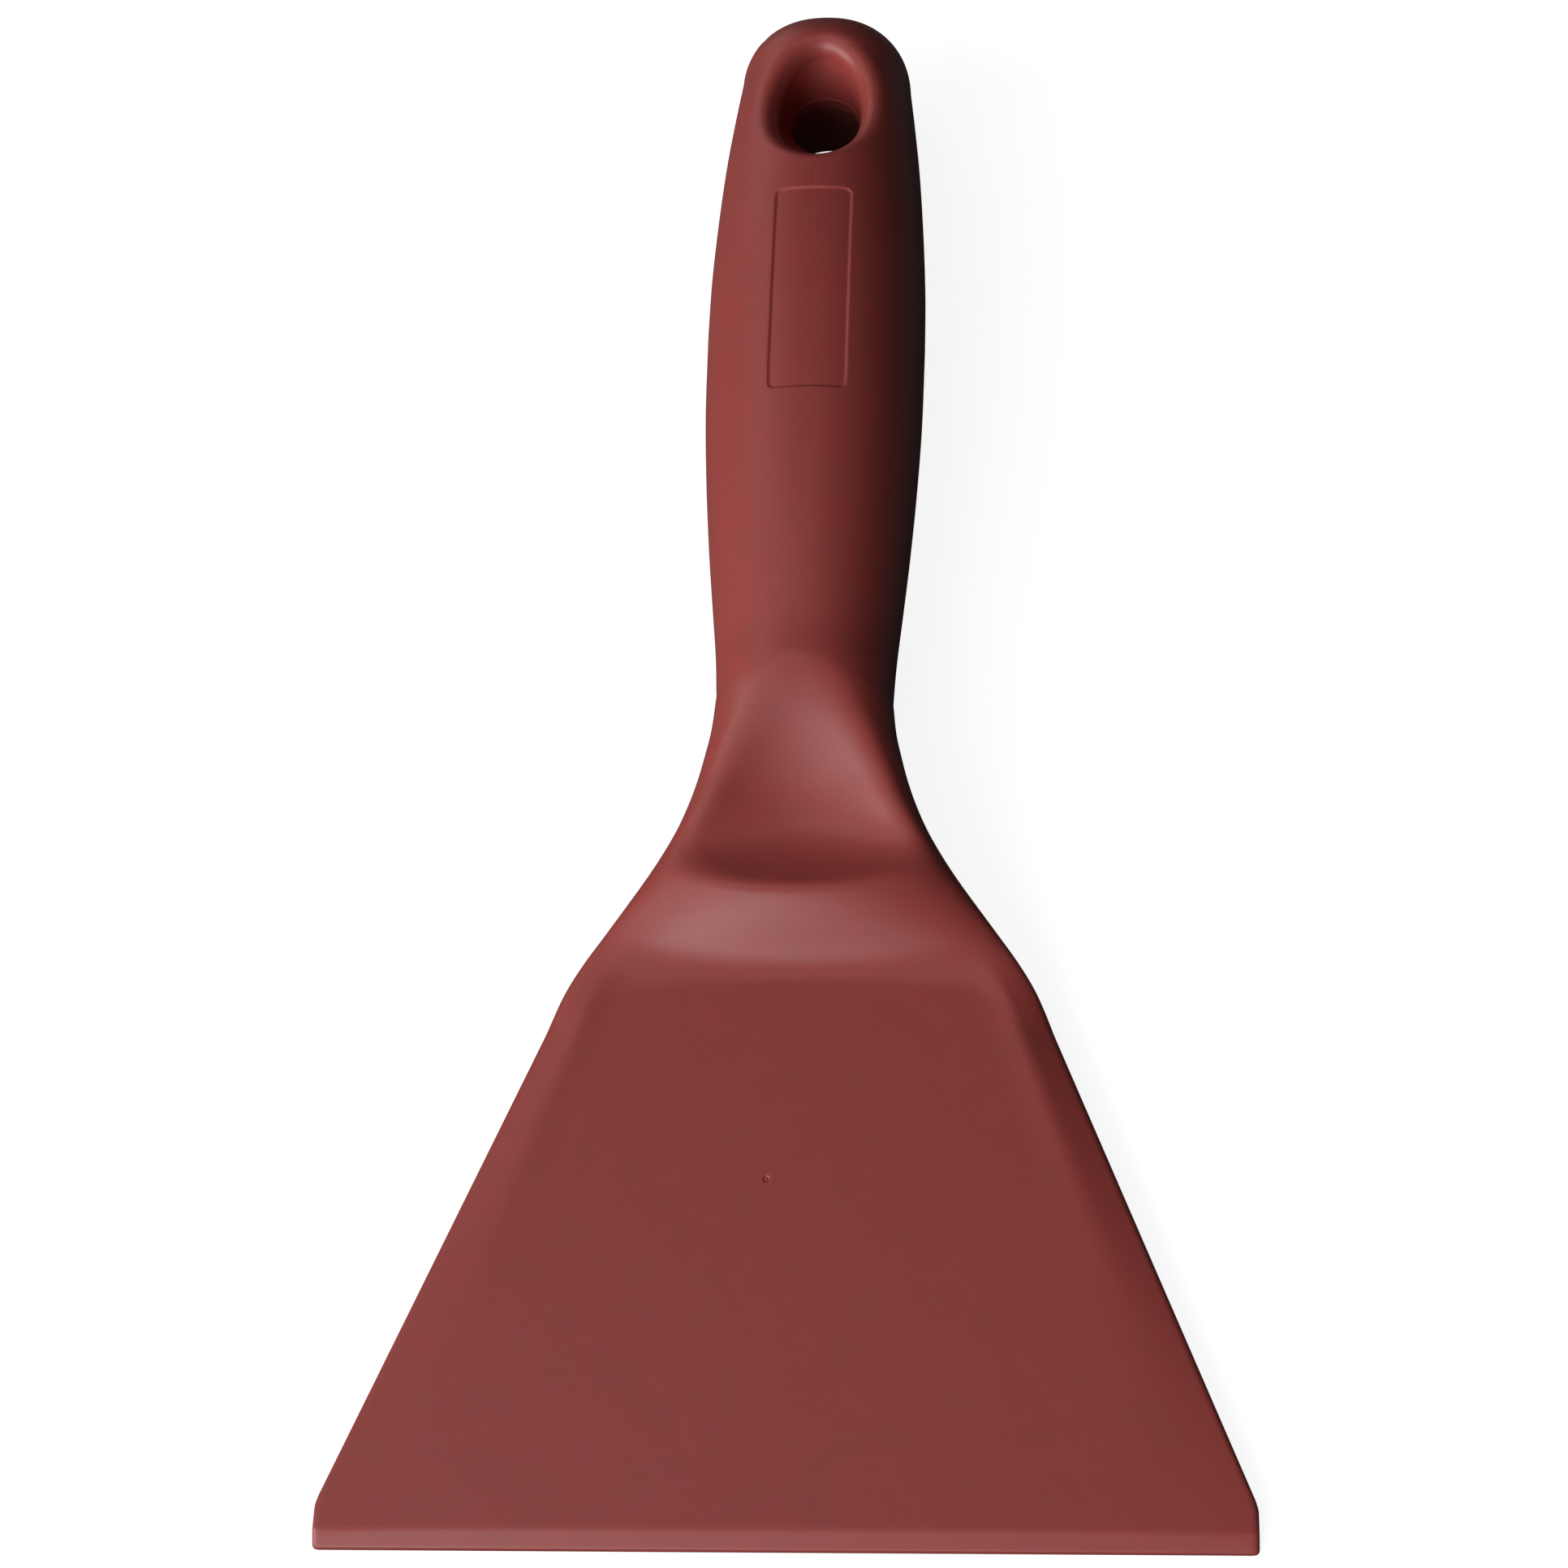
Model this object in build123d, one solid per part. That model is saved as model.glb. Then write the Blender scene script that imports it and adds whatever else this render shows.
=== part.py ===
from build123d import *
import math
import os

# A hand scraper moulded in one piece, lying on its back: X across the blade,
# Y from the cutting edge to the end of the handle, Z up through the thumb side.
# All lengths are millimetres, and places are distances from the cutting edge.

# Whole tool
tool_length = 205.0
blade_width = 102.4
overrun = 20.0

# Blade: flat behind, with a raised panel in front that slopes away to thin sides
side_straight_height = 4.9
shoulder_place = 60.0
shoulder_width = 59.3
edge_thickness = 1.8
shoulder_thickness = 4.6
edge_side_height = 1.74
shoulder_side_height = 3.5
edge_facet_width = 5.6
shoulder_facet_width = 3.3
bevel_height = 2.1
cutting_thickness = 0.8

# Neck, from the shoulders to the narrowest place: the front climbs from the panel over a slope
neck_place = 100.5
neck_width = 21.2
neck_top = 20.6
neck_arch = 1.2
neck_sections = 30
neck_width_shares = [(0.0, 1.0), (0.074, 0.943), (0.148, 0.87), (0.222, 0.773), (0.296, 0.66),
                     (0.37, 0.54), (0.444, 0.423), (0.519, 0.318), (0.593, 0.227), (0.667, 0.156),
                     (0.741, 0.101), (0.815, 0.06), (0.889, 0.026), (1.0, 0.0)]
neck_crest_shares = [(0.0, 0.544), (0.37, 0.631), (0.691, 0.772), (0.889, 0.922), (1.0, 1.0), (1.14, 1.03)]
neck_seam_shares = [(0.0, 0.232), (0.148, 0.408), (0.444, 0.485), (0.741, 0.564), (1.0, 0.5)]
neck_crown_shares = [(0.0, 0.0), (0.247, 0.0), (0.543, 0.45), (1.0, 1.0)]
mound_crown_share = 2.0
front_round_run = 10.0
back_round_run = 32.0
slope_foot_place = 68.0
slope_steepness_share = 0.95
slope_fade_width = 29.0
slope_least_share = 0.35
slope_foot_blend = 1.7
slope_crest_blend = 4.0

# Handle, from the neck over the belly to the root of the domed end
belly_place = 152.0
handle_width = 27.5
handle_height = 26.2
grip_sections = 5
grip_rise_shares = [(0.0, 0.0), (0.11, 0.1), (0.25, 0.32), (0.4, 0.55), (0.58, 0.77), (0.77, 0.93),
                    (1.0, 1.0)]
end_sections = 5
end_fall_shares = [(0.0, 0.0), (0.2, 0.03), (0.42, 0.18), (0.65, 0.42), (0.85, 0.73), (1.0, 1.0)]
crown_share = 2.25

# Domed end of the handle
dome_length = 10.0
dome_root_width = 22.4
dome_root_height = 21.5
dome_middle = 11.45
dome_turns = [18, 36, 52, 66, 78]

# Thumb recess, a shallow bowl in the front of the neck
recess_place = 83.6
recess_floor = 10.1
recess_back_share = 0.85
recess_front_share = 0.51
recess_floor_bend = 5.5
recess_across_radius = 28.0
recess_across_shares = [(0.0, 5.7), (0.444, 5.0), (0.593, 1.43), (0.741, 1.0), (0.914, 1.36), (1.09, 1.8)]
recess_rim_blend = 1.7
recess_lip_blend = 1.0
recess_lip_place = 75.0
recess_lip_run = 5.0

# Hanging hole: a mouth stretched towards the neck, a short land and a wider rear bore
hole_place = 188.5
land_radius = 4.6
land_length = 2.0
land_top = 13.2
mouth_half_width = 9.1
mouth_near_run = 9.9
mouth_far_run = 3.8
mouth_width_shares = [(0.0, 0.0), (0.38, 0.13), (0.48, 0.27), (0.56, 0.55), (0.62, 1.0), (0.7, 1.35),
                      (0.76, 1.7), (1.0, 2.6), (1.15, 2.9)]
mouth_far_shares = [0.0, 0.25, 0.35, 0.43, 0.54, 0.72, 1.0, 3.0, 3.5]
rear_bore_radius = 5.1
rear_rounding = 1.8
slack_above = 2.6

# Sunken label panel
label_middle = 152.1
label_length = 30.8
label_width = 9.9
label_depth = 0.3
label_corner_radius = 1.1

edge_at = -tool_length / 2
shoulder_half = shoulder_width / 2
handle_half = handle_width / 2
neck_half = neck_width / 2
dome_root_place = tool_length - dome_length
dome_root_top = dome_middle + dome_root_height / 2
dome_root_bottom = dome_middle - dome_root_height / 2
neck_length = neck_place - shoulder_place


def between(start, end, share):
    return start + (end - start) * share


def eased(share):
    """Nothing below 0, all above 1, and a soft start and finish between."""
    held = min(max(share, 0), 1)
    return held * held * (3 - 2 * held)


def soft_min(first, second, blend):
    """The lower of two heights, with the corner between them rounded."""
    if blend <= 0:
        return min(first, second)
    near = max(blend - abs(first - second), 0) / blend
    return min(first, second) - near * near * blend / 4


def soft_max(first, second, blend):
    return -soft_min(-first, -second, blend)


def follow(shares, way):
    """A smooth value at a way along a table of (way, value) shares."""
    for index in range(len(shares) - 1):
        if way <= shares[index + 1][0]:
            break
    before = shares[max(index - 1, 0)]
    start = shares[index]
    end = shares[index + 1]
    after = shares[min(index + 2, len(shares) - 1)]
    span = end[0] - start[0]
    start_slope = (end[1] - before[1]) / (end[0] - before[0]) * span
    end_slope = (after[1] - start[1]) / (after[0] - start[0]) * span
    local = (way - start[0]) / span
    value = between(start[1], end[1], eased(local))
    value += local * (1 - local) ** 2 * start_slope
    value -= local ** 2 * (1 - local) * end_slope
    return value


def oval_point(turn, half, middle, top, bottom, crown):
    """A point of the oval that the handle has, at a turn from its right side."""
    across = math.cos(math.radians(turn))
    up = math.sin(math.radians(turn))
    power = 2 / crown
    reach = top - middle if up > 0 else middle - bottom
    x = half * math.copysign(abs(across) ** power, across)
    z = middle + reach * math.copysign(abs(up) ** power, up)
    return x, z


def closed_outline(place, point_at):
    """Six curves round the tool, through the points that a function gives for a curve and a way."""
    edges = []
    for index, steps in enumerate([6, 3, 4, 18, 4, 3]):
        ways = [step / steps for step in range(steps + 1)]
        points = []
        for way in ways:
            x, z = point_at(index, way)
            points.append((x, edge_at + place, z))
        edges.append(Edge.make_spline(points, parameters=ways))
    return Wire(edges)


def outline_turn(index, way):
    """The turn from the right side of a place on one of the six curves."""
    turns = [-135, -45, 0, 45, 135, 180, 225]
    return between(turns[index], turns[index + 1], way)


def blade_half(place):
    """Half the width of the tapering blade, its slanted side run on to the edge."""
    taper = (place - side_straight_height) / (shoulder_place - side_straight_height)
    return between(blade_width / 2, shoulder_half, taper)


def roof_section(place):
    """The two side slopes of the blade's front, run up to where they meet."""
    way = place / shoulder_place
    half = blade_half(place)
    facet = between(edge_facet_width, shoulder_facet_width, way)
    top = between(edge_thickness, shoulder_thickness, way)
    side = between(edge_side_height, shoulder_side_height, way)
    ridge = between(side, top, half / facet)
    at = edge_at + place
    return Wire(
        Polyline(
            (-half, at, -overrun),
            (half, at, -overrun),
            (half, at, side),
            (0, at, ridge),
            (-half, at, side),
            close=True,
        )
    )


def make_blade():
    """The flat blade: its outline, cut to the front panel, the side slopes and the bevel."""
    outline = Polyline(
        (-blade_width / 2, edge_at),
        (blade_width / 2, edge_at),
        (blade_width / 2, edge_at + side_straight_height),
        (shoulder_half, edge_at + shoulder_place),
        (-shoulder_half, edge_at + shoulder_place),
        (-blade_width / 2, edge_at + side_straight_height),
        close=True,
    )
    slab = extrude(make_face(outline), overrun)
    side_view = Polyline(
        (edge_at, 0),
        (edge_at + shoulder_place, 0),
        (edge_at + shoulder_place, shoulder_thickness),
        (edge_at + bevel_height, between(edge_thickness, shoulder_thickness, bevel_share())),
        (edge_at, cutting_thickness),
        close=True,
    )
    panel = extrude(Plane.YZ * make_face(side_view), blade_width, both=True)
    roof = Solid.make_loft([roof_section(0), roof_section(shoulder_place)], ruled=True)
    return slab & panel & roof


def bevel_share():
    """How far up the blade the cutting bevel ends, as a share of the way to the shoulders."""
    return bevel_height / shoulder_place


def panel_top(place):
    return between(edge_thickness, shoulder_thickness, place / shoulder_place)


def lid_height(x, place):
    """The panel, and the slope that climbs from it towards the handle."""
    fading = max(1 - (x / slope_fade_width) ** 2, slope_least_share)
    steep = slope_steepness_share * fading
    slope = panel_top(place) + steep * (place - slope_foot_place)
    return soft_max(panel_top(place), slope, slope_foot_blend)


def recess_height(x, place):
    """The floor of the thumb recess, run on over the whole neck."""
    ahead = place - recess_place
    bend = math.hypot(ahead, recess_floor_bend) - recess_floor_bend
    along_share = (recess_back_share - recess_front_share) / 2
    bend_share = (recess_back_share + recess_front_share) / 2
    widening = follow(recess_across_shares, (place - shoulder_place) / neck_length)
    across = x * x / 2 / recess_across_radius / widening
    return recess_floor + ahead * along_share + bend * bend_share + across


def neck_front(x, place, uncut):
    """What the panel, the slope and the recess leave of a height of the neck's front."""
    crest_blend = slope_crest_blend * eased((place - shoulder_place) / front_round_run)
    cut = soft_min(uncut, lid_height(x, place), crest_blend)
    past_lip = eased((place - recess_lip_place) / recess_lip_run)
    rim = between(recess_lip_blend, recess_rim_blend, past_lip)
    rim *= eased((neck_place - place) / recess_lip_run)
    return soft_min(cut, recess_height(x, place), rim)


def neck_section(way):
    """A section between the shoulders and the narrowest place."""
    place = between(shoulder_place, neck_place, way)
    half = between(neck_half, shoulder_half, follow(neck_width_shares, way))
    bottom = neck_arch * eased(way)
    crest = neck_top * follow(neck_crest_shares, way)
    seam = between(bottom, crest, follow(neck_seam_shares, way))
    crown = between(mound_crown_share, crown_share, follow(neck_crown_shares, way))
    front_share = eased((place - shoulder_place) / front_round_run)
    back_share = eased((place - shoulder_place) / back_round_run)
    steepness = (shoulder_thickness - shoulder_side_height) / shoulder_facet_width
    inner = half - shoulder_facet_width
    start = neck_front(half, place, between(shoulder_side_height, seam, front_share))
    flat_across = [-half, half, half, inner, -inner, -half, -half]

    def point_at(index, step_way):
        turn = outline_turn(index, step_way)
        flat_x = between(flat_across[index], flat_across[index + 1], step_way)
        if index in (2, 3, 4):
            oval_x, oval_z = oval_point(turn, half, seam, crest, bottom, crown)
            x = between(flat_x, oval_x, front_share)
            roof = shoulder_side_height + (half - abs(flat_x)) * steepness
            return x, neck_front(x, place, between(roof, oval_z, front_share))
        oval_x, oval_z = oval_point(turn, half, start, crest, bottom, crown)
        flat_z = bottom
        if index == 1:
            flat_z = between(bottom, start, step_way)
        if index == 5:
            flat_z = between(start, bottom, step_way)
        return between(flat_x, oval_x, back_share), between(flat_z, oval_z, back_share)

    return closed_outline(place, point_at)


def grip_section(place, half, top, bottom):
    middle = (top + bottom) / 2

    def point_at(index, way):
        return oval_point(outline_turn(index, way), half, middle, top, bottom, crown_share)

    return closed_outline(place, point_at)


def grip_sections_between(inset):
    """The sections from the neck to the root of the dome, drawn in by an inset."""
    sections = []
    for step in range(grip_sections + 1):
        way = step / grip_sections
        rise = follow(grip_rise_shares, way)
        place = between(neck_place, belly_place, way)
        half = between(neck_half, handle_half, rise)
        top = between(neck_top, handle_height, rise)
        bottom = neck_arch * (1 - rise)
        sections.append(grip_section(place, half - inset, top - inset, bottom + inset))
    for step in range(1, end_sections + 1):
        way = step / end_sections
        fall = follow(end_fall_shares, way)
        place = between(belly_place, dome_root_place, way)
        half = between(handle_half, dome_root_width / 2, fall)
        top = between(handle_height, dome_root_top, fall)
        bottom = dome_root_bottom * fall
        sections.append(grip_section(place, half - inset, top - inset, bottom + inset))
    return sections


def make_neck():
    """The neck in short straight steps, from the flat blade to the oval handle."""
    sections = [neck_section(step / neck_sections) for step in range(neck_sections + 1)]
    return Solid.make_loft(sections, ruled=True)


def make_handle():
    """The grip and the domed end, one smooth skin over their sections."""
    sections = grip_sections_between(0)
    for turn in dome_turns:
        narrow = math.cos(math.radians(turn))
        place = dome_root_place + dome_length * math.sin(math.radians(turn))
        half = dome_root_width / 2 * narrow
        reach = dome_root_height / 2 * narrow
        sections.append(grip_section(place, half, dome_middle + reach, dome_middle - reach))
    sections.append(Vertex(0, edge_at + tool_length, dome_middle))
    return Solid.make_loft(sections, ruled=False)


def make_mouth():
    """The front of the hanging hole: steep at the end of the handle, a ramp towards the neck."""
    depth = dome_root_top + slack_above - land_top
    rings = []
    for (way, width_share), far_share in zip(mouth_width_shares, mouth_far_shares):
        near = land_radius + mouth_near_run * way
        far = land_radius + mouth_far_run * far_share
        half_width = between(land_radius, mouth_half_width, width_share)
        ring = Ellipse(half_width, (near + far) / 2)
        rings.append(Pos(0, (far - near) / 2, land_top + depth * way) * ring)
    trumpet = loft(rings, ruled=True)
    return Pos(0, edge_at + hole_place, 0) * trumpet


def make_rear_bore():
    """The back of the hanging hole: the land, then a wider bore with a rounded lip."""
    land_bottom = land_top - land_length
    rear_wide = rear_bore_radius + rear_rounding
    rear_floor = dome_root_bottom / 2
    with BuildPart() as hole:
        with BuildSketch(Plane.XZ):
            with BuildLine():
                base = Line((0, -overrun), (rear_wide, -overrun))
                skirt = Line(base @ 1, (rear_wide, rear_floor))
                rear_lip = RadiusArc(
                    skirt @ 1, (rear_bore_radius, rear_floor + rear_rounding), rear_rounding
                )
                bore = Line(rear_lip @ 1, (rear_bore_radius, land_bottom))
                step = Line(bore @ 1, (land_radius, land_bottom))
                land = Line(step @ 1, (land_radius, land_top))
                lid = Line(land @ 1, (0, land_top))
                Line(lid @ 1, base @ 0)
            make_face()
        revolve(axis=Axis.Z)
    return Pos(0, edge_at + hole_place, 0) * hole.part


def make_label():
    """The sunken panel on the front of the handle, its floor following the crown."""
    outline = RectangleRounded(label_width, label_length, label_corner_radius)
    block = Pos(0, edge_at + label_middle, handle_height / 2) * extrude(outline, overrun)
    core = Solid.make_loft(grip_sections_between(label_depth), ruled=False)
    return block - core


body = make_blade() + make_neck() + make_handle()
body = body - make_mouth() - make_rear_bore() - make_label()

os.makedirs("parts", exist_ok=True)
export_step(body, "parts/moulded_scraper.step")
print("solids", len(body.solids()), "volume", round(body.volume), "valid", body.is_valid)
print("box", body.bounding_box())
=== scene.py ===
import bpy
import bmesh
import math
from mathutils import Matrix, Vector


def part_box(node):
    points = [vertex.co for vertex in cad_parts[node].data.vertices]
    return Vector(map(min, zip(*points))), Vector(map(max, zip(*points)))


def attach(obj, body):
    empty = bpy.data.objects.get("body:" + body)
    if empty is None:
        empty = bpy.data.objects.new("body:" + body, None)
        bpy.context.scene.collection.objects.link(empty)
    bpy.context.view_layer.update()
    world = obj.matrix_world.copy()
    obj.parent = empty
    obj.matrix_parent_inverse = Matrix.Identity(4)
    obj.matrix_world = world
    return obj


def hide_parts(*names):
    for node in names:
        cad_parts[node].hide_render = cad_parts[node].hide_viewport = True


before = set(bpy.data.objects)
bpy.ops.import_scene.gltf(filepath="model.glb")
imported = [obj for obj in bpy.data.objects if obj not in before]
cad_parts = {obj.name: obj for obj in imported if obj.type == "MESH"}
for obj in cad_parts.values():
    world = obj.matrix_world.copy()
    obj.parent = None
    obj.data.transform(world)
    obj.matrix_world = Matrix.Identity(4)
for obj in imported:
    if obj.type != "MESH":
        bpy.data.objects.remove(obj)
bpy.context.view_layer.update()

# A hand scraper moulded in one piece. The lengths below are millimetres; a place is
# the distance from the cutting edge, a turn goes round the handle from its right side.
perMetre = 1000
boxLow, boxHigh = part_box("moulded_scraper")
toolLength = (boxHigh[1] - boxLow[1]) * perMetre
bladeWidth = (boxHigh[0] - boxLow[0]) * perMetre


def mix(start, end, share):
    return start + (end - start) * share


def ease(share):
    held = min(max(share, 0.0), 1.0)
    return held * held * (3 - 2 * held)


def softMin(first, second, blend):  # the lower of two heights, with a rounded corner
    near = max(blend - abs(first - second), 0.0) / blend
    return min(first, second) - near * near * blend / 4


def softMax(first, second, blend):
    return -softMin(-first, -second, blend)


def along(table, way):  # a smooth value at a way along a table of (way, value)
    for index in range(len(table) - 1):
        if way <= table[index + 1][0]:
            break
    before, start = table[max(index - 1, 0)], table[index]
    end, after = table[index + 1], table[min(index + 2, len(table) - 1)]
    span = end[0] - start[0]
    startSlope = (end[1] - before[1]) / (end[0] - before[0]) * span
    endSlope = (after[1] - start[1]) / (after[0] - start[0]) * span
    local = (way - start[0]) / span
    value = mix(start[1], end[1], local * local * (3 - 2 * local))
    return value + local * (1 - local) ** 2 * startSlope - local ** 2 * (1 - local) * endSlope


def steps(start, end, step):  # evenly spaced places, the end left out
    count = max(round((end - start) / step), 1)
    return [mix(start, end, index / count) for index in range(count)]


# blade and neck
blade = {
    "sideHeight": 4.9,        # straight sides behind the cutting edge
    "sideBlend": 0.6,
    "shoulder": 60.0,
    "shoulderHalf": 29.65,
    "edgeThickness": 1.8,
    "shoulderThickness": 4.6,
    "edgeWall": 1.74,         # height of the upright sides at the edge and at the shoulders
    "shoulderWall": 3.5,
    "wallGap": 0.02,          # least distance from the upright sides up to the bevel
    "edgeFacet": 5.6,         # width of the side slopes at the edge and at the shoulders
    "shoulderFacet": 3.3,
    "creaseBlend": 0.34,
    "sideRound": 0.55,        # rounding of the sides' corners
    "sideRoundMost": 0.48,    # its largest share of the side's height
    "sideRoundRun": 1.6,      # how much further it runs on the slope
    "bevel": 2.1,
    "bevelBlend": 0.14,
    "lip": 0.8,               # thickness of the cutting edge
    "cornerRound": 0.5,
    "noseRound": 0.18,
    "swell": 0.28,            # the panel rises a little along its side creases
    "swellWidth": 3.6,
    "swellInset": 0.12,       # its crest inside the crease, as a share of its width
    "swellStart": 18.0,       # it grows from here, and fades out before its end
    "swellGrowth": 46.0,
    "swellEnd": 72.0,
    "swellFade": 8.0,
}
neck = {
    "narrowest": 100.5,
    "half": 10.6,
    "arch": 1.2,
    "roundRun": 10.0,         # how soon the neck's front turns from flat to round
    "backRun": 32.0,
    "slopeFoot": 68.0,
    "slopeRise": 0.95,        # steepness of the slope up from the panel, fading to the sides
    "slopeFade": 29.0,
    "slopeLeast": 0.35,
    "slopeEnd": 82.0,
    "footBlend": 1.7,
    "crestBlend": 4.0,
    "crest": [(60, 11.2), (75, 13.0), (88, 15.9), (96, 19.0), (100.5, 20.6), (106.2, 21.16)],
    "seam": [(60, 2.6), (66, 4.9), (78, 6.8), (90, 9.8), (100.5, 10.9)],  # widest height
    "roundness": [(60, 2.0), (70, 2.0), (82, 2.11), (100.5, 2.25), (101, 2.25)],
    "taper": [(0, 1), (0.074, 0.943), (0.148, 0.87), (0.222, 0.773), (0.296, 0.66), (0.37, 0.54),
              (0.444, 0.423), (0.519, 0.318), (0.593, 0.227), (0.667, 0.156), (0.741, 0.101),
              (0.815, 0.06), (0.889, 0.026), (1, 0)],
}
grip = {
    "belly": 152.0,
    "half": 13.75,
    "neckTop": 20.6,
    "top": 26.1,
    "roundness": 2.25,        # 2 is an ellipse, more is squarer
    "rise": [(-0.087, -0.285), (0, 0), (0.11, 0.1), (0.25, 0.32),
             (0.4, 0.55), (0.58, 0.77), (0.77, 0.93), (1, 1)],
    "widen": [(0, 0), (0.11, 0.1), (0.25, 0.32), (0.4, 0.55), (0.58, 0.77), (0.77, 0.93), (1, 1)],
    "fall": [(0, 0), (0.2, 0.03), (0.42, 0.18), (0.65, 0.42), (0.85, 0.73), (1, 1)],
    "domeLength": 10.0,
    "domeHalf": 11.2,
    "domeReach": 10.75,       # half the dome's thickness, about its middle's height
    "domeMiddle": 11.45,
}
recess = {
    "from": 66.0,
    "to": 108.0,
    "low": 10.1,              # height and place of the floor's lowest part
    "place": 83.6,
    "backRise": 0.85,         # steepness of the floor towards the handle and the blade
    "frontRise": 0.51,
    "floorRound": 5.5,
    "across": [(70, 160), (78, 140), (84, 40), (90, 28), (97, 38), (104, 50)],  # radius across it
    "rimBlend": 1.7,
    "lipBlend": 1.0,
    "lipEnd": 75.0,           # here the lip's rounding grows into the rim's
    "lipFade": 5.0,
}
label = {                     # the bare panel on the handle
    "middle": 152.35,
    "halfLength": 15.65,
    "halfWidth": 4.95,
    "corner": 1.1,
    "depth": 0.2,
    "wall": 0.36,
}
weld = {                      # the line where the two flows met past the hole
    "from": 167.9,
    "to": 172.8,
    "fade": 1.5,
    "half": 0.16,
    "depth": 0.03,
}
domeRoot = toolLength - grip["domeLength"]


def bladeTop(place):
    return mix(blade["edgeThickness"], blade["shoulderThickness"], place / blade["shoulder"])


def noseRounding(place):  # how far the cutting edge is rounded away, above and below
    left = max(blade["noseRound"] - place, 0)
    return blade["noseRound"] - math.sqrt(blade["noseRound"] ** 2 - left ** 2)


def bevelHeight(place):  # the cutting bevel, run on upwards
    rise = bladeTop(blade["bevel"]) - blade["lip"]
    return blade["lip"] + rise * place / blade["bevel"] - noseRounding(place)


def bladeStation(place):
    way = place / blade["shoulder"]
    taper = (place - blade["sideHeight"]) / (blade["shoulder"] - blade["sideHeight"])
    slanted = mix(bladeWidth / 2, blade["shoulderHalf"], taper)
    half = softMin(bladeWidth / 2 + blade["sideBlend"] / 4, slanted, blade["sideBlend"])
    left = max(blade["cornerRound"] - place, 0)
    rounded = blade["cornerRound"] - math.sqrt(blade["cornerRound"] ** 2 - left ** 2)
    wall = mix(blade["edgeWall"], blade["shoulderWall"], way)
    return {
        "half": min(half, bladeWidth / 2) - rounded,
        "bottom": noseRounding(place),
        "wall": min(wall, bevelHeight(place) - blade["wallGap"]),
        "facet": mix(blade["edgeFacet"], blade["shoulderFacet"], way),
        "frontShare": 0.0,
        "backShare": 0.0,
    }


def neckStation(place):
    way = (place - blade["shoulder"]) / (neck["narrowest"] - blade["shoulder"])
    bottom = neck["arch"] * ease(way)
    return {
        "half": mix(neck["half"], blade["shoulderHalf"], along(neck["taper"], way)),
        "bottom": bottom,
        "top": along(neck["crest"], place),
        "seam": along(neck["seam"], place),
        "wall": blade["shoulderWall"] - bottom,
        "facet": blade["shoulderFacet"],
        "roundness": along(neck["roundness"], place),
        "frontShare": ease((place - blade["shoulder"]) / neck["roundRun"]),
        "backShare": ease((place - blade["shoulder"]) / neck["backRun"]),
    }


def roundStation(half, bottom, top):
    return {
        "half": half,
        "bottom": bottom,
        "top": top,
        "seam": (top + bottom) / 2,
        "roundness": grip["roundness"],
        "frontShare": 1.0,
        "backShare": 1.0,
    }


def station(place):  # the section's sizes at a place
    if place <= blade["shoulder"]:
        return bladeStation(place)
    if place <= neck["narrowest"]:
        return neckStation(place)
    middle, reach = grip["domeMiddle"], grip["domeReach"]
    if place <= grip["belly"]:
        way = (place - neck["narrowest"]) / (grip["belly"] - neck["narrowest"])
        wide, high = along(grip["widen"], way), along(grip["rise"], way)
        half = mix(neck["half"], grip["half"], wide)
        top = mix(grip["neckTop"], grip["top"], high)
        return roundStation(half, neck["arch"] * (1 - wide), top)
    if place <= domeRoot:
        fall = along(grip["fall"], (place - grip["belly"]) / (domeRoot - grip["belly"]))
        half = mix(grip["half"], grip["domeHalf"], fall)
        top = mix(grip["top"], middle + reach, fall)
        return roundStation(half, mix(0, middle - reach, fall), top)
    narrow = math.sqrt(max(1 - ((place - domeRoot) / grip["domeLength"]) ** 2, 0))
    return roundStation(grip["domeHalf"] * narrow, middle - reach * narrow, middle + reach * narrow)


# turns at which the blade's upright side, its rounded corner and its side slope end
wallTurn = 4
cornerTurn = 16
facetTurn = 45
topTurn = 90


def passed(turn, start, end):  # how much of a run of turns is done
    return (turn - start) / (end - start)


def corner(start, bend, end, way):  # a rounded corner between two points
    first = mix(start[0], bend[0], way), mix(start[1], bend[1], way)
    second = mix(bend[0], end[0], way), mix(bend[1], end[1], way)
    return mix(first[0], second[0], way), mix(first[1], second[1], way)


def sideRounding(shape, place):  # rounding of the upright side, its width and the slope's rise
    rise = (bladeTop(place) - shape["bottom"] - shape["wall"]) / shape["facet"]
    curve = min(blade["sideRound"], shape["wall"] * blade["sideRoundMost"])
    return curve, curve * blade["sideRoundRun"] / math.hypot(1, rise), rise


def sideway(turn, shape, foot):  # distance across, from the rounded corner to the middle
    half, facet = shape["half"], shape["facet"]
    if turn <= facetTurn:
        return mix(half - foot, half - facet, passed(turn, cornerTurn, facetTurn))
    return mix(half - facet, 0, passed(turn, facetTurn, topTurn))


def flatFront(turn, shape, place):  # the blade's front before its panel is cut: wall and slope
    half, shoulder = shape["half"], shape["bottom"] + shape["wall"]
    curve, foot, rise = sideRounding(shape, place)
    if turn <= wallTurn:
        return half, mix(shape["bottom"] + shape["wall"] / 2, shoulder - curve, turn / wallTurn)
    if turn <= cornerTurn:
        end = (half - foot, shoulder + foot * rise)
        way = passed(turn, wallTurn, cornerTurn)
        return corner((half, shoulder - curve), (half, shoulder), end, way)
    x = sideway(turn, shape, foot)
    return x, shoulder + (half - x) * rise


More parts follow.
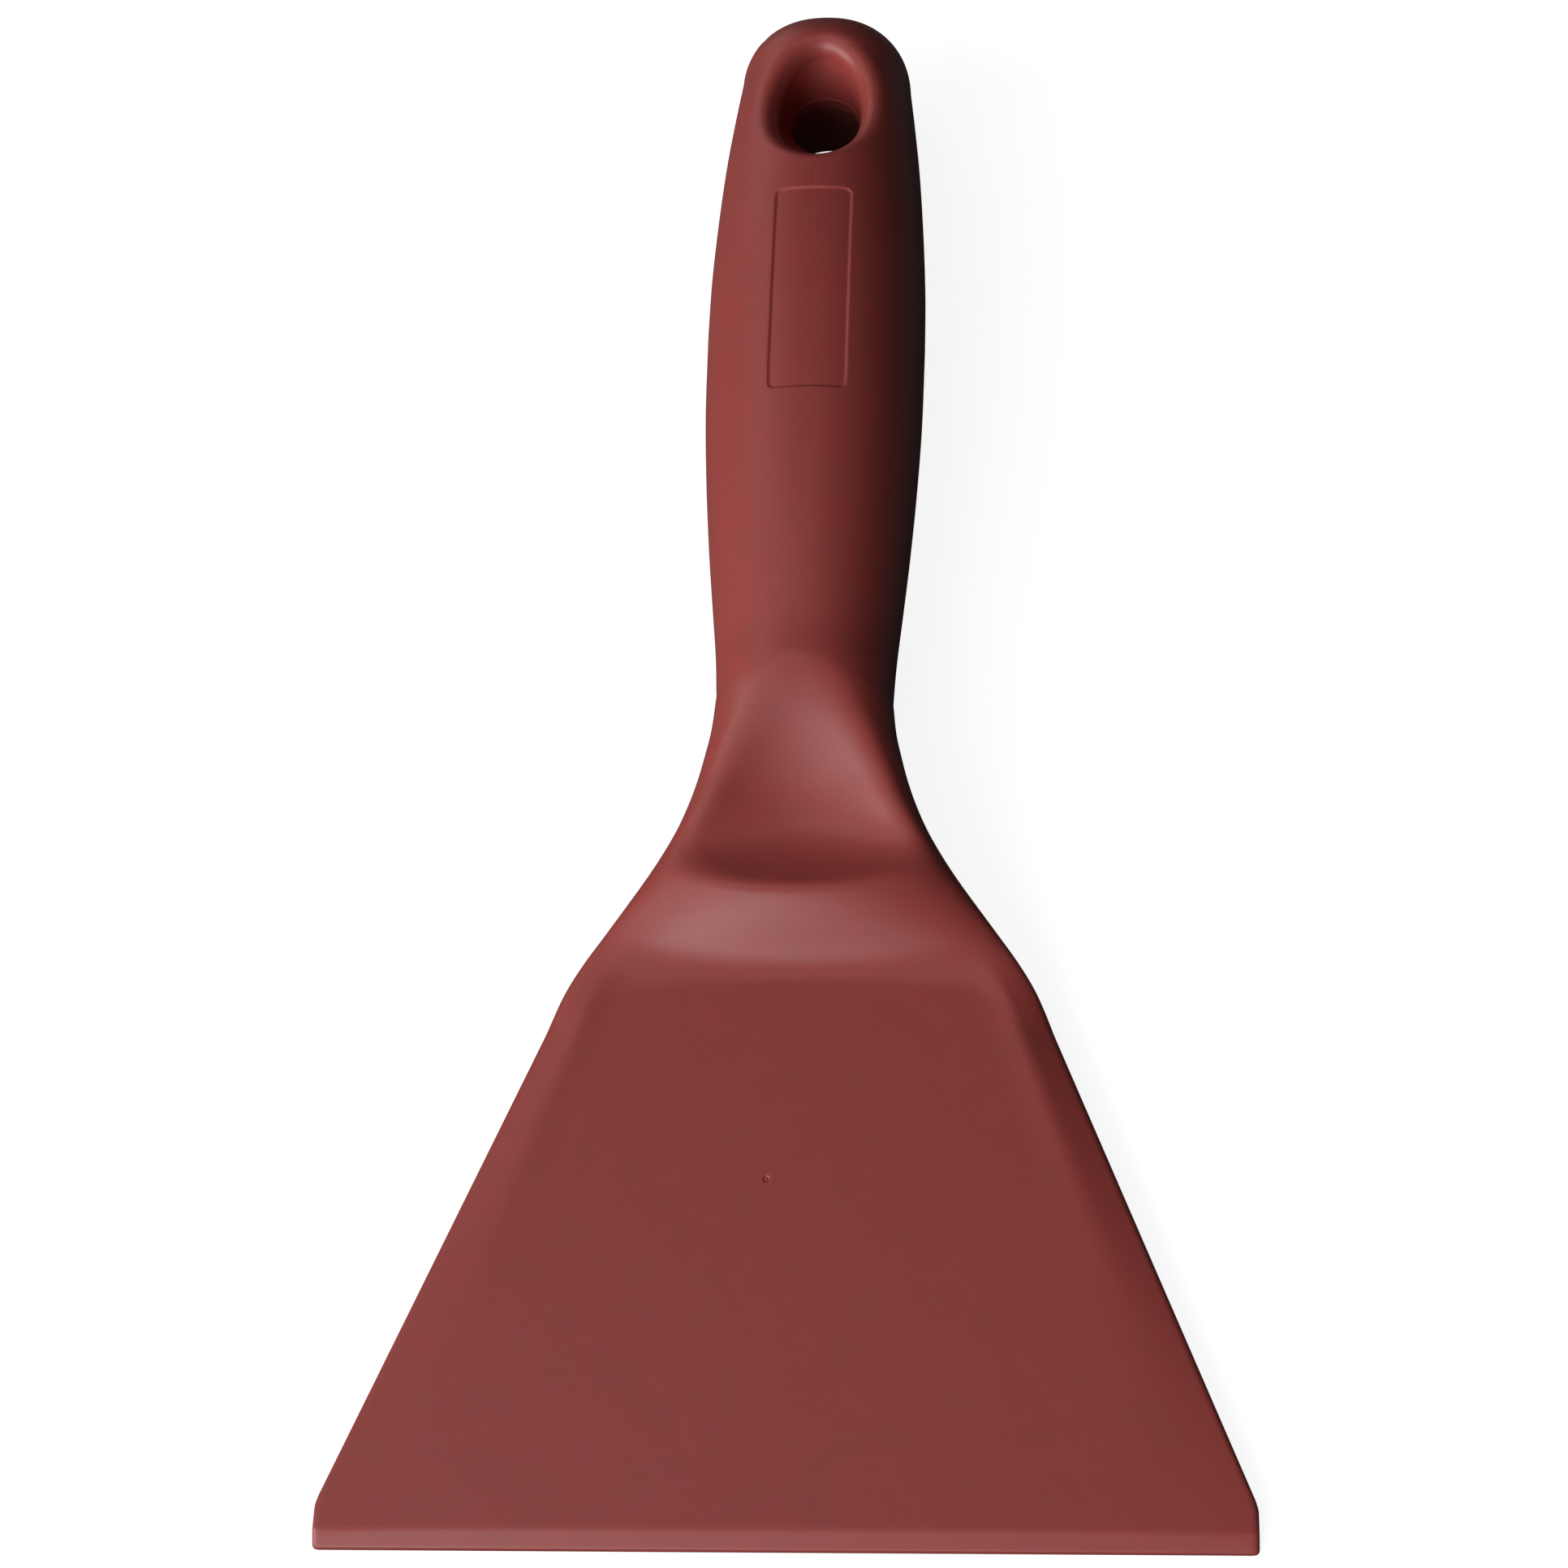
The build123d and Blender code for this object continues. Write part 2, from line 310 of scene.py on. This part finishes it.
def flatBack(turn, shape, start, place):
    half, bottom = shape["half"], shape["bottom"]
    curve, foot, rise = sideRounding(shape, place)
    if turn <= wallTurn:
        return half, mix(start, bottom + curve, turn / wallTurn)
    if turn <= cornerTurn:
        way = passed(turn, wallTurn, cornerTurn)
        return corner((half, bottom + curve), (half, bottom), (half - foot, bottom), way)
    return sideway(turn, shape, foot), bottom


def roundPoint(turn, shape, start, end):  # a point of the oval, from its side to its top or bottom
    power = 2 / shape["roundness"]
    across, up = math.cos(math.radians(turn)), math.sin(math.radians(turn))
    return shape["half"] * abs(across) ** power, mix(start, end, up ** power)


def ovalHeight(x, shape, end):  # the oval's height at a distance across, at its top or bottom
    share = max(1 - min(abs(x) / shape["half"], 1) ** shape["roundness"], 0)
    return mix(shape["seam"], shape[end], share ** (1 / shape["roundness"]))


def slopeHeight(x, place, crease):  # the panel and the slope that climbs from it to the neck
    panel = bladeTop(place)
    inward = (crease - x) / blade["swellWidth"]
    if inward > -1:
        lift = ease((place - blade["swellStart"]) / blade["swellGrowth"])
        lift *= ease((blade["swellEnd"] - place) / blade["swellFade"])
        panel += blade["swell"] * lift * max(1 - abs(inward - blade["swellInset"]), 0) ** 2
    steep = neck["slopeRise"] * max(1 - (x / neck["slopeFade"]) ** 2, neck["slopeLeast"])
    return softMax(panel, bladeTop(place) + steep * (place - neck["slopeFoot"]), neck["footBlend"])


def recessHeight(x, place):  # the thumb recess, a shallow bowl
    ahead = place - recess["place"]
    back, front = recess["backRise"], -recess["frontRise"]
    bend = math.hypot(ahead, recess["floorRound"]) - recess["floorRound"]
    floor = recess["low"] + ahead * (back + front) / 2 + bend * (back - front) / 2
    return floor + x * x / 2 / along(recess["across"], place)


def labelDepth(x, place):
    dx = abs(x) - (label["halfWidth"] - label["corner"])
    dy = abs(place - label["middle"]) - (label["halfLength"] - label["corner"])
    outside = math.hypot(max(dx, 0), max(dy, 0)) + min(max(dx, dy), 0) - label["corner"]
    return label["depth"] * ease(-outside / label["wall"])


def weldDepth(x, place):
    ends = ease((place - weld["from"]) / weld["fade"]) * ease((weld["to"] - place) / weld["fade"])
    return weld["depth"] * ends * max(1 - abs(x) / weld["half"], 0)


def cutFront(x, z, place, shape):  # what the panel, the bevel, the recess and the label leave
    if place < neck["slopeEnd"]:
        rounding = ease((place - blade["shoulder"]) / neck["roundRun"])
        blend = mix(blade["creaseBlend"], neck["crestBlend"], rounding)
        z = softMin(z, slopeHeight(x, place, shape["half"] - shape["facet"]), blend)
    if place < blade["bevel"] * 2:
        z = softMin(z, bevelHeight(place), blade["bevelBlend"])
    if recess["from"] < place < recess["to"]:
        rounding = ease((place - recess["lipEnd"]) / recess["lipFade"])
        blend = mix(recess["lipBlend"], recess["rimBlend"], rounding)
        z = softMin(z, recessHeight(x, place), blend)
    return z - labelDepth(x, place) - weldDepth(x, place)


def skinPoint(place, turn, shape):  # any point of the whole outside, turn 0 to 360
    folded = turn if turn <= 90 else 180 - turn if turn <= 270 else turn - 360
    mirrored = -1 if 90 < turn < 270 else 1
    side = shape["bottom"] + shape["wall"] / 2 if "wall" in shape else 0
    start = mix(side, shape["seam"], shape["frontShare"]) if "seam" in shape else side
    start = cutFront(shape["half"], start, place, shape) if "wall" in shape else start
    if folded < 0:
        x, z = flatBack(-folded, shape, start, place) if shape["backShare"] < 1 else (0, 0)
        if shape["backShare"] > 0:
            ovalX, ovalZ = roundPoint(-folded, shape, start, shape["bottom"])
            x, z = mix(x, ovalX, shape["backShare"]), mix(z, ovalZ, shape["backShare"])
        return mirrored * x, z
    x, z = flatFront(folded, shape, place) if shape["frontShare"] < 1 else (0, 0)
    if shape["frontShare"] > 0:
        ovalX, ovalZ = roundPoint(folded, shape, shape["seam"], shape["top"])
        x, z = mix(x, ovalX, shape["frontShare"]), mix(z, ovalZ, shape["frontShare"])
    return mirrored * x, cutFront(x, z, place, shape)


def inMetres(x, place, z):
    return Vector((x, place - toolLength / 2, z)) / perMetre


# the hanging hole and the mark of the mould's gate
hole = {
    "place": 188.5,
    "land": 4.6,
    "landTop": 13.2,
    "landLength": 2.0,
    "landDip": 0.6,           # how much lower the land starts at its near side
    "landProfile": [(0.02, 0), (-0.09, 0.1), (-0.1, 0.26), (-0.03, 0.42), (0, 0.6), (0, 1.5),
                    (0, 1.88), (0.04, 1.97), (0.13, 2.0)],  # outwards and down from its top
    "rimHalf": 9.1,           # outer edge of the rounded rim: half width, near and far end
    "rimNear": 172.8,
    "rimFar": 197.3,
    "rimLean": 38,            # by how many degrees its near end stops short of upright
    "rimStep": 0.072,
    "throatHalf": 5.3,        # inner edge of the rim
    "throatNear": 174.55,
    "throatFar": 194.6,
    "sideDrop": 4.0,          # how deep the rim is rounded at the sides, near and far end
    "nearDrop": 1.2,
    "farDrop": 2.7,
    "wallShares": (0.1, 0.22, 0.35, 0.48, 0.61, 0.74, 0.86, 0.95),
    "rearBore": 5.1,
    "rearRound": 2.3,
    "rearTurns": (15, 30, 45, 60, 75, 90),
    "boreProfile": [(0, 0.15), (0, 0.35), (0, 0.6), (0, 0.85), (0, 0.97), (-0.05, 0.995), (-0.16, 1.0)],
    "from": 171.6,            # the patch of skin that is opened for the hole
    "to": 200.2,
    "patchTurn": 34,
    "frontShares": (0.22, 0.42, 0.6, 0.76, 0.89, 1.0),  # rings from the patch's edge to the rim
    "rearShares": (0.3, 0.55, 0.75, 0.9, 1.0),
}
gate = {                      # the small pit left by the trimmed sprue
    "place": 42.0,
    "across": -3.0,
    "size": 0.38,
    "depth": 0.12,
    "profile": [(1.15, 0.02), (1.0, 0.25), (0.85, 0.75), (0.7, 1.0), (0.5, 0.8), (0.25, 0.45), (0, 0.4)],
    "spread": 1.5,
    "spreadShares": (0.5, 0.8, 1.0),
    "patchReach": 2.0,
    "patchTurns": (90, 100),
}
# rows along the tool and columns round it, closer where the form bends
spacing = {
    "edgeRows": [0, 0.05, 0.14, 0.3, 0.5, 0.8, 1.2, 1.5, 1.75, 1.95, 2.1, 2.25, 2.45, 2.8, 3.3,
                 3.8, 4.2, 4.6, 5, 5.4],
    "runs": [(5.9, 12, 0.9), (12, 58, 1.5), (58, 64, 0.75), (64, 72, 0.5), (72, 79, 0.28),
             (79, 103, 0.5), (103, 136, 1.3), (136, 137.4, 0.12), (137.4, 166.8, 1.3),
             (166.8, 168.2, 0.12), (168.2, hole["from"], 0.6)],  # start, end and step
    "holeStep": 0.5,
    "domeStep": 2.8,          # degrees up the dome, and the last of them
    "domeEnd": 89,
    "quarter": [0, 1.5, 3, 4, 5.5, 7, 8.5, 10, 12, 14, 16, 18, 21, 24.5, 28, 31, 34, 36.5, 38.6,
                40.4, 42, 43.4, 44.7, 46, 47.4, 49, 51, 53, 55, 57, 59, 61, 62.8, 64.5, 66.2,
                67.8, 69.2, 70.3, 71.1, 71.7, 72.3, 72.9, 73.5, 74.2, 75.2, 76.6, 78.4, 80.2,
                82, 83.8, 85.6, 87.2, 88.6, 89.5],
}
rows = list(spacing["edgeRows"])
for start, end, step in spacing["runs"]:
    rows += steps(start, end, step)
firstHoleRow = len(rows)
rows += steps(hole["from"], hole["to"], spacing["holeStep"])
lastHoleRow = len(rows)
firstTurn = math.degrees(math.asin((hole["to"] - domeRoot) / grip["domeLength"]))
for turn in steps(firstTurn, spacing["domeEnd"], spacing["domeStep"]):
    rows.append(domeRoot + grip["domeLength"] * math.sin(math.radians(turn)))
quarter = spacing["quarter"]
halfTurn = quarter + [90] + [180 - turn for turn in reversed(quarter)]
turns = halfTurn[:-1] + [360 - turn for turn in reversed(halfTurn)][:-1]
print("rows", len(rows), "columns", len(turns))


def extrudeRing(bm, ring):  # the next ring of a skin, its points in the same order
    edges = []
    for index, vert in enumerate(ring):
        edges.append(bm.edges.get((vert, ring[(index + 1) % len(ring)])))
    made = bmesh.ops.extrude_edge_only(bm, edges=edges)["geom"]
    fresh = set(item for item in made if isinstance(item, bmesh.types.BMVert))
    following = []
    for vert in ring:
        for edge in vert.link_edges:
            other = edge.other_vert(vert)
            if other in fresh:
                following.append(other)
                break
    return following


def addRing(bm, ring, points):
    ring = extrudeRing(bm, ring)
    for vert, point in zip(ring, points):
        vert.co = inMetres(*point)
    return ring


def buildSkin(bm):  # the whole outside, ring after ring from the cutting edge
    ring = bmesh.ops.create_circle(bm, segments=len(turns), radius=1)["verts"]
    grid = []
    for place in rows:
        if grid:
            ring = extrudeRing(bm, ring)
        shape = station(place)
        for vert, turn in zip(ring, turns):
            x, z = skinPoint(place, turn, shape)
            vert.co = inMetres(x, place, z)
        grid.append(ring)
    for vert in extrudeRing(bm, ring):  # the tip of the dome
        vert.co = inMetres(0, toolLength, grip["domeMiddle"])
    return grid


def openPatch(bm, grid, low, high, firstTurn, lastTurn):  # opens the skin, gives the edge's points
    within = [index for index, turn in enumerate(turns) if firstTurn <= turn <= lastTurn]
    first, last = within[0], within[-1]
    inside = [grid[row][column] for row in range(low + 1, high) for column in range(first + 1, last)]
    border = [(low, column) for column in range(first, last)]
    border += [(row, last) for row in range(low, high)]
    border += [(high, column) for column in range(last, first, -1)]
    border += [(row, first) for row in range(high, low, -1)]
    bmesh.ops.delete(bm, geom=inside, context="VERTS")
    return [grid[row][column] for row, column in border]


def flatPlaces(loop):  # each point across and along the tool
    return [(vert.co.x * perMetre, vert.co.y * perMetre + toolLength / 2) for vert in loop]


def ringAngles(places, across, middle):  # each border point's turn round the opening
    wide = max(abs(x - across) for x, place in places)
    reach = max(abs(place - middle) for x, place in places)
    return [math.atan2((place - middle) / reach, (x - across) / wide) for x, place in places]


def frontPoint(x, place):
    return x, place, ovalHeight(x, station(place), "top")


def backPoint(x, place, z=0.0):
    return x, place, z + ovalHeight(x, station(place), "bottom")


def rimPoint(angle):  # outer edge of the mouth's rounded rim
    middle = (hole["rimNear"] + hole["rimFar"]) / 2
    reach = (hole["rimFar"] - hole["rimNear"]) / 2
    return hole["rimHalf"] * math.cos(angle), middle + reach * math.sin(angle)


def throatPoint(angle):  # where the rim ends and the straight wall starts
    middle = (hole["throatNear"] + hole["throatFar"]) / 2
    reach = (hole["throatFar"] - hole["throatNear"]) / 2
    x, place = hole["throatHalf"] * math.cos(angle), middle + reach * math.sin(angle)
    end = hole["farDrop"] if angle > 0 else hole["nearDrop"]
    drop = mix(hole["sideDrop"], end, math.sin(angle) ** 2)
    return x, place, ovalHeight(x, station(place), "top") - drop


def nearness(angle):  # 1 at the opening's near end, 0 from its sides on
    return max(-math.sin(angle), 0) ** 2


def rimRing(angles, share):  # the rim's rounding, from level to the slant of the wall
    points = []
    for angle in angles:
        last = math.radians(90 - hole["rimLean"] * nearness(angle))
        turn = last * share
        outer, inner = rimPoint(angle), throatPoint(angle)
        way = math.sin(turn) / math.sin(last)
        x, place = mix(outer[0], inner[0], way), mix(outer[1], inner[1], way)
        drop = ovalHeight(inner[0], station(inner[1]), "top") - inner[2]
        sunk = drop * (1 - math.cos(turn)) / (1 - math.cos(last))
        points.append((x, place, ovalHeight(x, station(place), "top") - sunk))
    return points


def circleRing(angles, radius, height, dip=0.0):
    points = []
    for angle in angles:
        z = height - dip * nearness(angle)
        points.append((radius * math.cos(angle), hole["place"] + radius * math.sin(angle), z))
    return points


def buildMouth(bm, grid):  # rounded rim, slanting wall and narrow land
    turnRange = hole["patchTurn"], 180 - hole["patchTurn"]
    ring = openPatch(bm, grid, firstHoleRow, lastHoleRow, *turnRange)
    places = flatPlaces(ring)
    angles = ringAngles(places, 0, (hole["from"] + hole["to"]) / 2)
    for share in hole["frontShares"]:
        points = []
        for angle, (startX, startPlace) in zip(angles, places):
            x, place = rimPoint(angle)
            points.append(frontPoint(mix(startX, x, share), mix(startPlace, place, share)))
        ring = addRing(bm, ring, points)
    for share in steps(0.07, 1.0, hole["rimStep"]) + [1.0]:
        ring = addRing(bm, ring, rimRing(angles, share))
    foot = circleRing(angles, hole["land"], hole["landTop"], hole["landDip"])
    for share in hole["wallShares"]:
        points = []
        for top, bottom in zip([throatPoint(angle) for angle in angles], foot):
            points.append([mix(start, end, share) for start, end in zip(top, bottom)])
        ring = addRing(bm, ring, points)
    for outwards, down in hole["landProfile"]:
        dip = hole["landDip"] * ease(1 - down / hole["landLength"])
        points = circleRing(angles, hole["land"] + outwards, hole["landTop"] - down, dip)
        ring = addRing(bm, ring, points)
    return ring


def buildRearBore(bm, grid):  # rounded lip at the back and the bore up to the land
    turnRange = 180 + hole["patchTurn"], 360 - hole["patchTurn"]
    ring = openPatch(bm, grid, firstHoleRow, lastHoleRow, *turnRange)
    places = flatPlaces(ring)
    angles = ringAngles(places, 0, (hole["from"] + hole["to"]) / 2)
    bore, rounding = hole["rearBore"], hole["rearRound"]
    wide = bore + rounding
    for share in hole["rearShares"]:
        points = []
        for angle, (startX, startPlace) in zip(angles, places):
            x = mix(startX, wide * math.cos(angle), share)
            place = mix(startPlace, hole["place"] + wide * math.sin(angle), share)
            points.append(backPoint(x, place))
        ring = addRing(bm, ring, points)
    for turn in hole["rearTurns"]:
        radius = wide - rounding * math.sin(math.radians(turn))
        sunk = rounding * (1 - math.cos(math.radians(turn)))
        points = [backPoint(*point) for point in circleRing(angles, radius, sunk)]
        ring = addRing(bm, ring, points)
    starts = [z for x, place, z in points]
    landBottom = hole["landTop"] - hole["landLength"]
    for outwards, share in hole["boreProfile"]:
        points = []
        for (x, place, z), start in zip(circleRing(angles, bore + outwards, 0), starts):
            points.append((x, place, mix(start, landBottom, share)))
        ring = addRing(bm, ring, points)
    return ring


def buildGate(bm, grid):
    middle, across, size = gate["place"], gate["across"], gate["size"]
    low = max(row for row, place in enumerate(rows) if place < middle - gate["patchReach"])
    high = min(row for row, place in enumerate(rows) if place > middle + gate["patchReach"])
    ring = openPatch(bm, grid, low, high, *gate["patchTurns"])
    places = flatPlaces(ring)
    angles = ringAngles(places, across, middle)
    spread = size * gate["spread"]
    for share in gate["spreadShares"]:
        points = []
        for angle, (startX, startPlace) in zip(angles, places):
            x = mix(startX, across + spread * math.cos(angle), share)
            place = mix(startPlace, middle + spread * math.sin(angle), share)
            points.append((x, place, bladeTop(place)))
        ring = addRing(bm, ring, points)
    for radius, sunk in gate["profile"]:
        points = []
        for angle in angles:
            place = middle + size * radius * math.sin(angle)
            z = bladeTop(place) - sunk * gate["depth"]
            points.append((across + size * radius * math.cos(angle), place, z))
        ring = addRing(bm, ring, points)


mergeGap = 0.000004  # metres: points closer than this become one


def buildScraper():
    bm = bmesh.new()
    grid = buildSkin(bm)
    print("skin built,", len(bm.faces), "faces")
    for vert in extrudeRing(bm, grid[0]):  # the cutting edge: front and back meet in a line
        vert.co.z = blade["lip"] / 2 / perMetre
    ends = []
    for loop in (buildMouth(bm, grid), buildRearBore(bm, grid)):
        for index, vert in enumerate(loop):
            ends.append(bm.edges.get((vert, loop[(index + 1) % len(loop)])))
    bmesh.ops.bridge_loops(bm, edges=ends)
    buildGate(bm, grid)
    bmesh.ops.remove_doubles(bm, verts=bm.verts, dist=mergeGap)
    bmesh.ops.recalc_face_normals(bm, faces=bm.faces)
    loose = [edge for edge in bm.edges if len(edge.link_faces) != 2]
    print("hole built,", len(bm.faces), "faces,", len(loose), "open edges")
    mesh = bpy.data.meshes.new("scraperBody")
    bm.to_mesh(mesh)
    bm.free()
    mesh.polygons.foreach_set("use_smooth", [True] * len(mesh.polygons))
    piece = bpy.data.objects.new("scraperBody", mesh)
    bpy.context.scene.collection.objects.link(piece)
    return piece


# polypropylene
finish = {
    "colour": (0.288, 0.0483, 0.0411),
    "roughness": 0.42,
    "ior": 1.49,
    "grainSize": 5200.0,      # noise scale per metre
    "grainDetail": 2,
    "grainDepth": 0.05,
    "grainReach": 0.0003,     # metres
    "cloudSize": 260.0,
    "cloudDetail": 3,
    "cloudAmount": 0.10,      # how far red moves up and down
    "cloudGreen": 0.4,        # and green against it, as a share of that
}


def addNode(nodes, kind, **inputs):  # a shader node with some of its inputs set
    node = nodes.new("ShaderNode" + kind)
    for name, value in inputs.items():
        node.inputs[name].default_value = value
    return node


def makePolypropylene():
    material = bpy.data.materials.new("polypropylene")
    material.use_nodes = True
    nodes, links = material.node_tree.nodes, material.node_tree.links
    shader = nodes["Principled BSDF"]
    place = addNode(nodes, "TexCoord")
    cloud = addNode(nodes, "TexNoise", Scale=finish["cloudSize"], Detail=finish["cloudDetail"])
    links.new(place.outputs["Object"], cloud.inputs["Vector"])
    red, green, blue = finish["colour"]
    redShift, greenShift = finish["cloudAmount"], finish["cloudAmount"] * finish["cloudGreen"]
    tint = nodes.new("ShaderNodeMix")
    tint.data_type = "RGBA"
    tint.inputs["A"].default_value = (red * (1 - redShift), green * (1 + greenShift), blue, 1)
    tint.inputs["B"].default_value = (red * (1 + redShift), green * (1 - greenShift), blue, 1)
    links.new(cloud.outputs["Fac"], tint.inputs["Factor"])
    links.new(tint.outputs["Result"], shader.inputs["Base Color"])
    grain = addNode(nodes, "TexNoise", Scale=finish["grainSize"], Detail=finish["grainDetail"])
    links.new(place.outputs["Object"], grain.inputs["Vector"])
    bump = addNode(nodes, "Bump", Strength=finish["grainDepth"], Distance=finish["grainReach"])
    links.new(grain.outputs["Fac"], bump.inputs["Height"])
    links.new(bump.outputs["Normal"], shader.inputs["Normal"])
    shader.inputs["Roughness"].default_value = finish["roughness"]
    shader.inputs["IOR"].default_value = finish["ior"]
    return material


scraper = buildScraper()
scraper.data.materials.append(makePolypropylene())
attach(scraper, "root")
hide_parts("moulded_scraper")
print("scraper in place")

# floor, lamps and camera
stage = {
    "floorSize": 2.0,         # metres
    "floorGap": 0.0003,
    "floorGlow": 0.9,         # what the camera sees of it, besides the lamps' light
    "floorSeen": (0.3, 0.3, 0.3, 1),
    "floorBounce": (0.14, 0.14, 0.14, 1),  # what it throws back on the tool
    "worldStrength": 0.005,
    "white": (1, 1, 1, 1),
    "lampSize": 0.9,
    "lampDistance": 1.8,
    "lamps": [                # turn from the cutting edge's side, height and watts
        ("keyLow", 285, 19, 12.8),
        ("keyLeft", 300, 30, 9.8),
        ("keyMiddle", 330, 30, 11.1),
        ("keyRight", 345, 32, 6.8),
        ("overhead", 270, 76, 2.9),
        ("rimHigh", 230, 42, 1.9),
        ("rimLow", 210, 8, 1.7),
    ],
    "lens": 77.0,             # millimetres, on a sensor 36 wide
    "sensor": 36,
    "shift": -0.05,
    "cameraPlace": (0.031007, -0.210183, 0.35359),
    "cameraTurns": (29.916, 3.205, 1.352),
}


def splitByCamera(nodes, links, seen, other, end):  # the camera sees one shader, light another
    path = addNode(nodes, "LightPath")
    choose = addNode(nodes, "MixShader")
    links.new(path.outputs["Is Camera Ray"], choose.inputs[0])
    links.new(other.outputs[0], choose.inputs[1])
    links.new(seen.outputs[0], choose.inputs[2])
    links.new(choose.outputs[0], end.inputs["Surface"])


def makeFloor():
    bm = bmesh.new()
    bmesh.ops.create_grid(bm, x_segments=1, y_segments=1, size=stage["floorSize"] / 2)
    mesh = bpy.data.meshes.new("floor")
    bm.to_mesh(mesh)
    bm.free()
    floor = bpy.data.objects.new("floor", mesh)
    floor.location.z = -stage["floorGap"]
    bpy.context.scene.collection.objects.link(floor)
    material = bpy.data.materials.new("paleFloor")
    material.use_nodes = True
    nodes, links = material.node_tree.nodes, material.node_tree.links
    nodes.clear()
    lit = addNode(nodes, "BsdfDiffuse", Color=stage["floorSeen"])
    glow = addNode(nodes, "Emission", Strength=stage["floorGlow"])
    both = addNode(nodes, "AddShader")
    links.new(lit.outputs[0], both.inputs[0])
    links.new(glow.outputs[0], both.inputs[1])
    bounce = addNode(nodes, "BsdfDiffuse", Color=stage["floorBounce"])
    splitByCamera(nodes, links, both, bounce, addNode(nodes, "OutputMaterial"))
    mesh.materials.append(material)


def makeWorld():
    world = bpy.data.worlds.new("studio")
    bpy.context.scene.world = world
    world.use_nodes = True
    nodes, links = world.node_tree.nodes, world.node_tree.links
    dim = nodes["Background"]
    dim.inputs["Strength"].default_value = stage["worldStrength"]
    dim.inputs["Color"].default_value = stage["white"]
    backdrop = addNode(nodes, "Background", Color=stage["white"])
    splitByCamera(nodes, links, backdrop, dim, nodes["World Output"])


def areaLamp(name, turn, height, power):  # a soft round lamp, aimed at the tool
    lamp = bpy.data.lights.new(name, "AREA")
    lamp.shape = "DISK"
    lamp.size = stage["lampSize"]
    lamp.energy = power
    turn, height = math.radians(turn), math.radians(height)
    level = math.cos(height)
    spot = Vector((math.sin(turn) * level, -math.cos(turn) * level, math.sin(height)))
    holder = bpy.data.objects.new(name, lamp)
    holder.location = spot * stage["lampDistance"]
    holder.rotation_euler = (-spot).to_track_quat("-Z", "Y").to_euler()
    bpy.context.scene.collection.objects.link(holder)


def makeCamera():
    view = bpy.data.cameras.new("photoView")
    view.sensor_width = stage["sensor"]
    view.lens = stage["lens"]
    view.shift_x = stage["shift"]
    camera = bpy.data.objects.new("photoView", view)
    camera.location = stage["cameraPlace"]
    camera.rotation_euler = [math.radians(turn) for turn in stage["cameraTurns"]]
    bpy.context.scene.collection.objects.link(camera)
    bpy.context.scene.camera = camera


makeFloor()
makeWorld()
for name, turn, height, power in stage["lamps"]:
    areaLamp(name, turn, height, power)
makeCamera()
bpy.context.scene.view_settings.view_transform = "Standard"
print("stage, lamps and camera in place")
